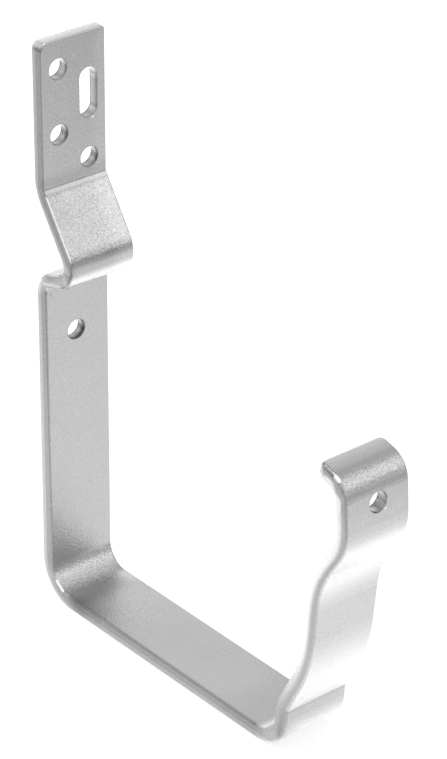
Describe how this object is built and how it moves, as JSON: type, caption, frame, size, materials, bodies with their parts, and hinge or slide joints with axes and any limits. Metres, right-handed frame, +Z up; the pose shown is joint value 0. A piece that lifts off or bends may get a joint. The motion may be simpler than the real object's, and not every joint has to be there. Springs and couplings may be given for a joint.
{
  "type": "gutter bracket",
  "caption": "Folded flat-bar gutter bracket: drilled wall tab with a slot, slanted hook, straight leg and base, and an ogee front arm ending in a curled lip.",
  "frame": {"origin": "middle of the flat underside of the base, half way across the bar", "axes": "+X from the wall towards the front arm, +Y across the bar, +Z up along the leg"},
  "size_m": [0.1494, 0.025, 0.2004],
  "materials": {
    "bracket": "satin silver-grey zinc, fine grained"
  },
  "bodies": {
    "root": {"bracket": "bracket"}
  },
  "joints": []
}
